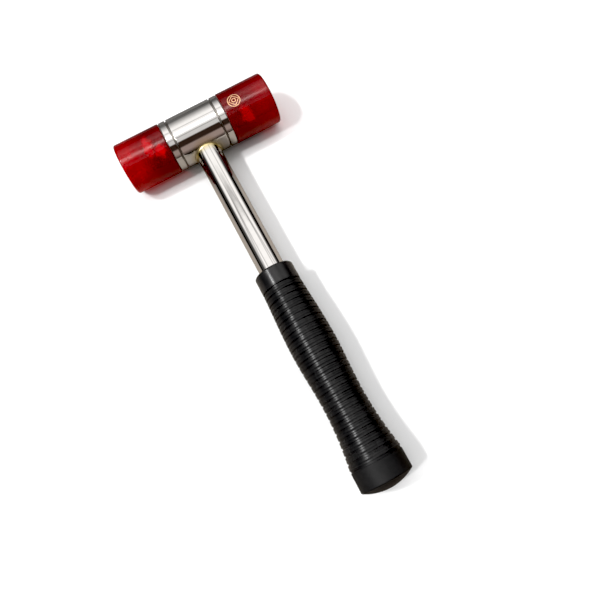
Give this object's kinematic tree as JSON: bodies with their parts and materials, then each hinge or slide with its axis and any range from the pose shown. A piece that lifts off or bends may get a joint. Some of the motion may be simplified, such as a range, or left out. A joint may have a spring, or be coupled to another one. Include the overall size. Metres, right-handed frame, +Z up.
{
  "type": "dead blow mallet",
  "caption": "Two-faced soft-face mallet: chromed steel head with screw-on translucent red plastic faces and a loose shot charge, steel tube handle and ribbed black rubber grip.",
  "frame": {"origin": "under the middle of the mallet's bounding box, on the surface it lies on", "axes": "+Z up from the bench, +X along the head towards the right-hand striking face, +Y along the handle from the butt towards the head"},
  "size_m": [0.1012, 0.257, 0.0324],
  "materials": {
    "chrome_plate": "bright chrome plate over turned and polished steel",
    "red_plastic": "glossy translucent deep red moulded plastic",
    "black_rubber": "satin black moulded rubber",
    "brass_braze": "brass brazing fillet, partly plated over",
    "zinc_steel": "zinc-plated turned steel",
    "shot_steel": "plain steel balls",
    "vulcanised_fibre": "matt vulcanised fibre",
    "black_washer": "matt black fibre washer",
    "black_plastic": "matt black moulded plastic"
  },
  "bodies": {
    "mallet": {"head_barrel": "chrome_plate", "end_cap_left": "chrome_plate", "end_cap_right": "chrome_plate", "chamber_disc_left": "vulcanised_fibre", "chamber_disc_right": "vulcanised_fibre", "face_stud_left": "zinc_steel", "face_stud_right": "zinc_steel", "handle_tube": "chrome_plate", "braze_fillet": "brass_braze", "tube_end_plug": "black_plastic", "grip_sleeve": "black_rubber"},
    "left_washer": {"friction_washer_left": "black_washer"},
    "left_face": {"striking_face_left": "red_plastic"},
    "right_washer": {"friction_washer_right": "black_washer"},
    "right_face": {"striking_face_right": "red_plastic"},
    "shot_charge": {"steel_shot": "shot_steel"}
  },
  "joints": [
    {"name": "left_face_unscrew", "type": "hinge", "parent": "mallet", "child": "left_washer", "pos_m": [0, 0.1123, 0.0162], "axis": [-1, 0, 0], "range_deg": [0, 2340.1]},
    {"name": "left_face_back_off", "type": "slide", "parent": "left_washer", "child": "left_face", "axis": [-1, 0, 0], "range_m": [0, 0.013]},
    {"name": "right_face_unscrew", "type": "hinge", "parent": "mallet", "child": "right_washer", "pos_m": [0, 0.1123, 0.0162], "axis": [1, 0, 0], "range_deg": [0, 2340.1]},
    {"name": "right_face_back_off", "type": "slide", "parent": "right_washer", "child": "right_face", "axis": [1, 0, 0], "range_m": [0, 0.013]},
    {"name": "shot_travel", "type": "slide", "parent": "mallet", "child": "shot_charge", "axis": [1, 0, 0], "range_m": [-0.0033, 0.0033]}
  ],
  "couplings": [
    {"joint": "left_face_unscrew", "follows": "left_face_back_off", "rad_per_m": 3141.6},
    {"joint": "right_face_unscrew", "follows": "right_face_back_off", "rad_per_m": 3141.6}
  ]
}
